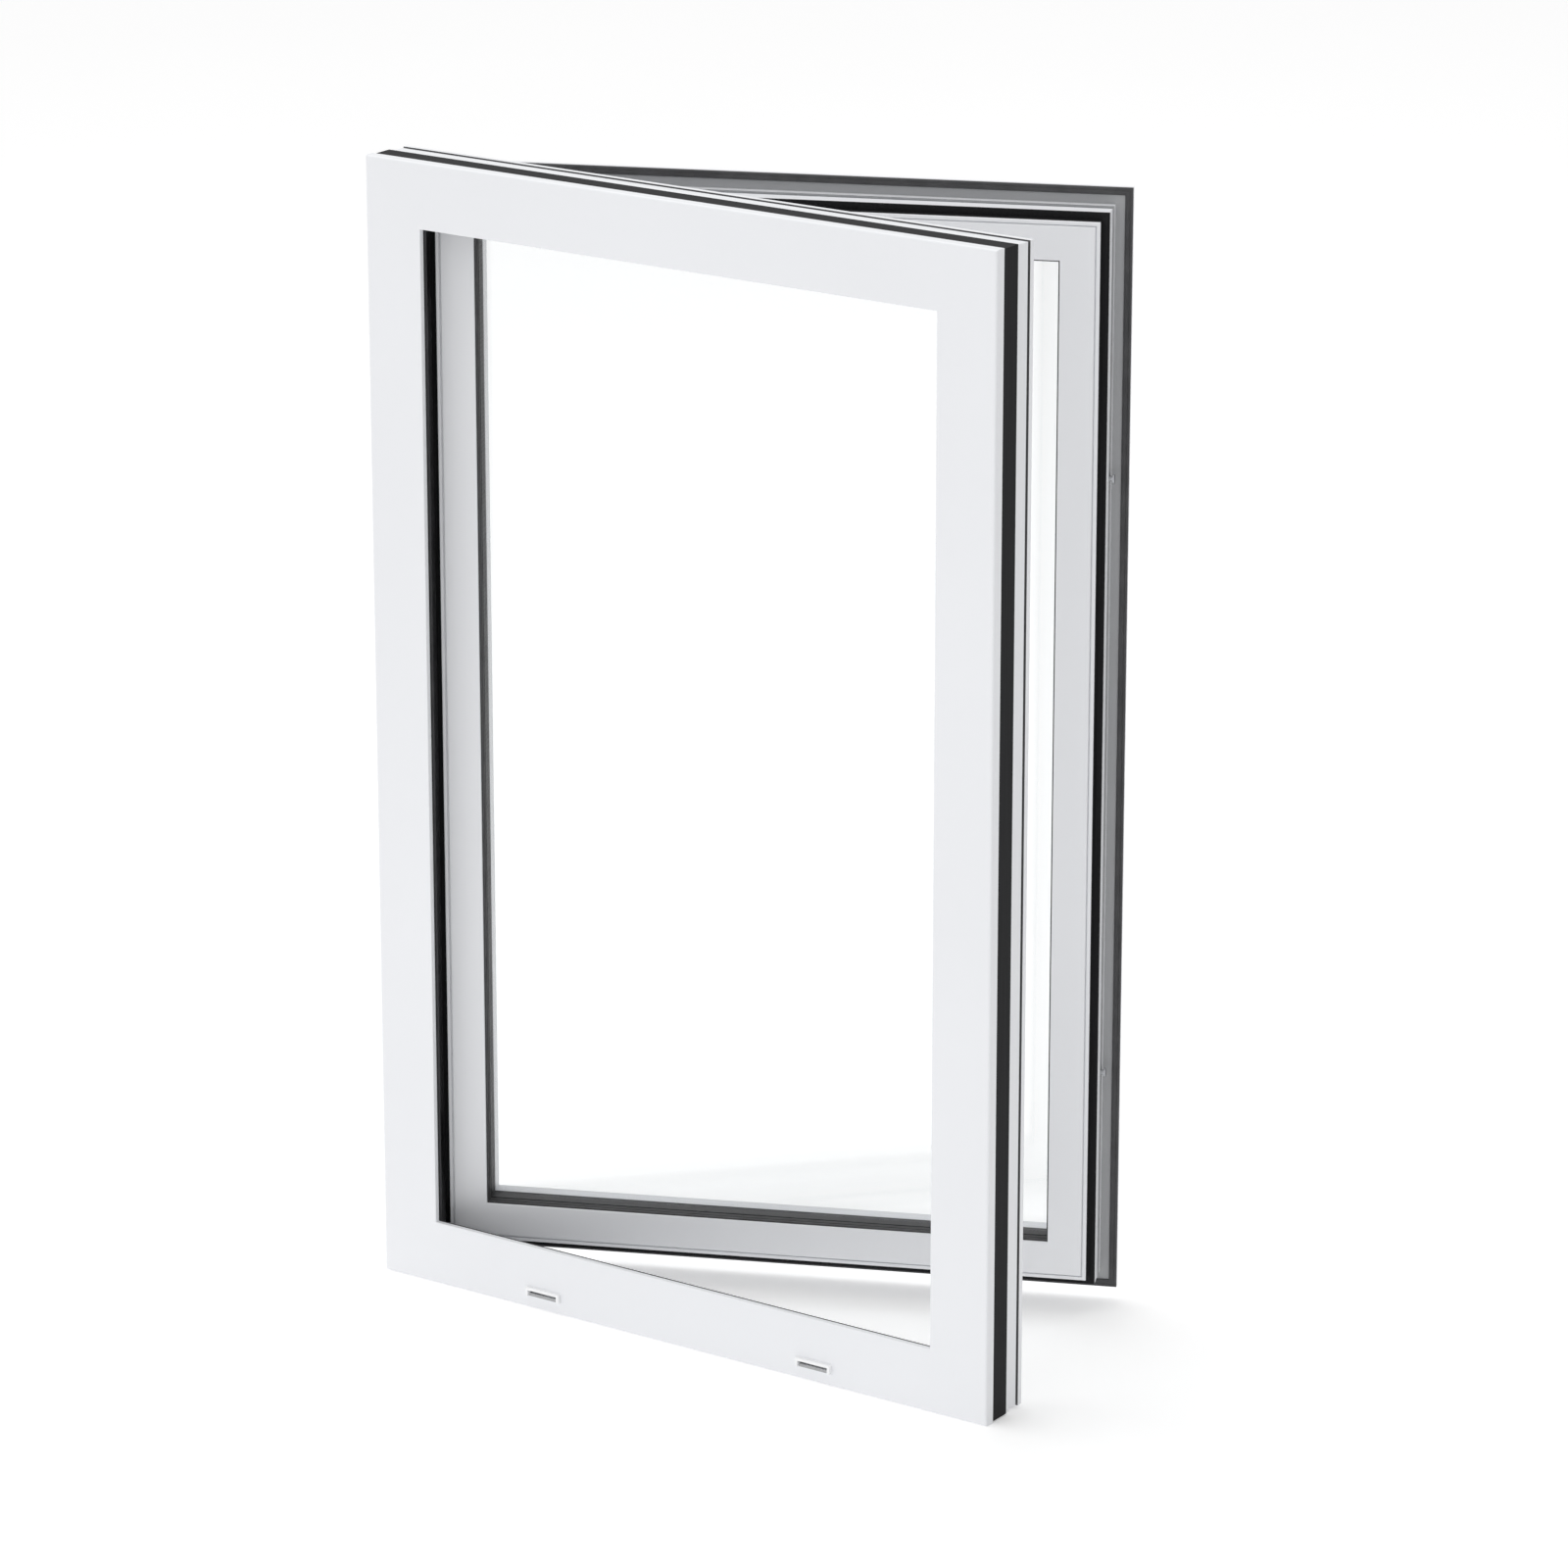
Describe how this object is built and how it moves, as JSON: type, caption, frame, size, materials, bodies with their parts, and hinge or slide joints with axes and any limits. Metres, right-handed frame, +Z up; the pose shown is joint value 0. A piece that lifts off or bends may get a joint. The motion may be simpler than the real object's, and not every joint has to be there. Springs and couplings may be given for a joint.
{
  "type": "casement window",
  "caption": "Inward-opening aluminium casement window: thermally broken frame, side-hung double-glazed sash standing open, face hinges, lever handle and drive-rod lock.",
  "frame": {"origin": "middle of the sill's flat underside, half the exterior shell's depth behind the frame's exterior face", "axes": "+Z up; +X along the sill from the hinge jamb to the lock jamb; +Y from outdoors into the room, square to the frame's face"},
  "size_m": [0.8, 0.4309, 1.27],
  "materials": {
    "painted_aluminium_frame": "powder-coated, satin",
    "painted_aluminium_sash": "powder-coated, satin",
    "break_polyamide": "matte black insulating strip",
    "seal_rubber": "matte black weather seal",
    "glazing_rubber": "dark grey glazing gasket",
    "cleat_aluminium": "mill finish",
    "cap_plastic": "white moulded",
    "clear_glass": "clear float glass",
    "spacer_aluminium": "matt, warm-edge bar",
    "edge_sealant": "black sealant",
    "block_plastic": "hard glazing packer",
    "hinge_paint": "powder-coated, satin",
    "hinge_steel": "turned stainless",
    "bush_nylon": "nylon",
    "zinc_steel": "zinc-plated",
    "handle_paint": "powder-coated, satin"
  },
  "bodies": {
    "frame": {"frame_exterior_head": "painted_aluminium_frame", "frame_interior_head": "painted_aluminium_frame", "frame_break_head": "break_polyamide", "frame_exterior_sill": "painted_aluminium_frame", "frame_interior_sill": "painted_aluminium_frame", "frame_break_sill": "break_polyamide", "frame_exterior_hinge": "painted_aluminium_frame", "frame_interior_hinge": "painted_aluminium_frame", "frame_break_hinge": "break_polyamide", "frame_exterior_lock": "painted_aluminium_frame", "frame_interior_lock": "painted_aluminium_frame", "frame_break_lock": "break_polyamide", "frame_lip_gasket": "seal_rubber", "frame_centre_gasket": "seal_rubber", "frame_outer_cleats": "cleat_aluminium", "frame_inner_cleats": "cleat_aluminium", "drain_caps": "cap_plastic", "hinge_frame_leaves": "hinge_paint", "hinge_pins": "hinge_steel", "hinge_frame_screws": "zinc_steel", "keeps": "zinc_steel", "keep_screws": "zinc_steel"},
    "handle": {"handle_lever": "handle_paint", "handle_spindle": "zinc_steel", "drive_pinion": "zinc_steel"},
    "drive_rod": {"drive_rod": "cleat_aluminium", "locking_cams": "zinc_steel"},
    "sash": {"sash_exterior_head": "painted_aluminium_sash", "sash_interior_head": "painted_aluminium_sash", "sash_break_head": "break_polyamide", "glazing_bead_head": "painted_aluminium_sash", "sash_exterior_sill": "painted_aluminium_sash", "sash_interior_sill": "painted_aluminium_sash", "sash_break_sill": "break_polyamide", "glazing_bead_sill": "painted_aluminium_sash", "sash_exterior_hinge": "painted_aluminium_sash", "sash_interior_hinge": "painted_aluminium_sash", "sash_break_hinge": "break_polyamide", "glazing_bead_hinge": "painted_aluminium_sash", "sash_exterior_lock": "painted_aluminium_sash", "sash_interior_lock": "painted_aluminium_sash", "sash_break_lock": "break_polyamide", "glazing_bead_lock": "painted_aluminium_sash", "overlap_gasket": "seal_rubber", "sash_outer_cleats": "cleat_aluminium", "sash_inner_cleats": "cleat_aluminium", "hinge_sash_leaves": "hinge_paint", "hinge_bushes": "bush_nylon", "hinge_sash_screws": "zinc_steel", "outer_glazing_gasket": "glazing_rubber", "inner_glazing_gasket": "glazing_rubber", "outer_pane": "clear_glass", "inner_pane": "clear_glass", "glass_spacer": "spacer_aluminium", "glass_edge_seal": "edge_sealant", "setting_blocks": "block_plastic", "gearbox_case": "zinc_steel", "handle_rosette": "handle_paint", "handle_screws": "zinc_steel"}
  },
  "joints": [
    {"name": "sash_turn", "type": "hinge", "parent": "frame", "child": "sash", "pos_m": [-0.3909, 0.073, 0.635], "axis": [0, 0, 1], "range_deg": [-23.6, 66.4]},
    {"name": "handle_turn", "type": "hinge", "parent": "sash", "child": "handle", "pos_m": [0.29558, 0.35109, 0.635], "axis": [0.4003, -0.9164, 0], "range_deg": [0, 180]},
    {"name": "rod_slide", "type": "slide", "parent": "sash", "child": "drive_rod", "axis": [0, 0, 1], "range_m": [0, 0.02827]}
  ],
  "couplings": [
    {"joint": "rod_slide", "follows": "handle_turn", "m_per_rad": 0.009}
  ]
}
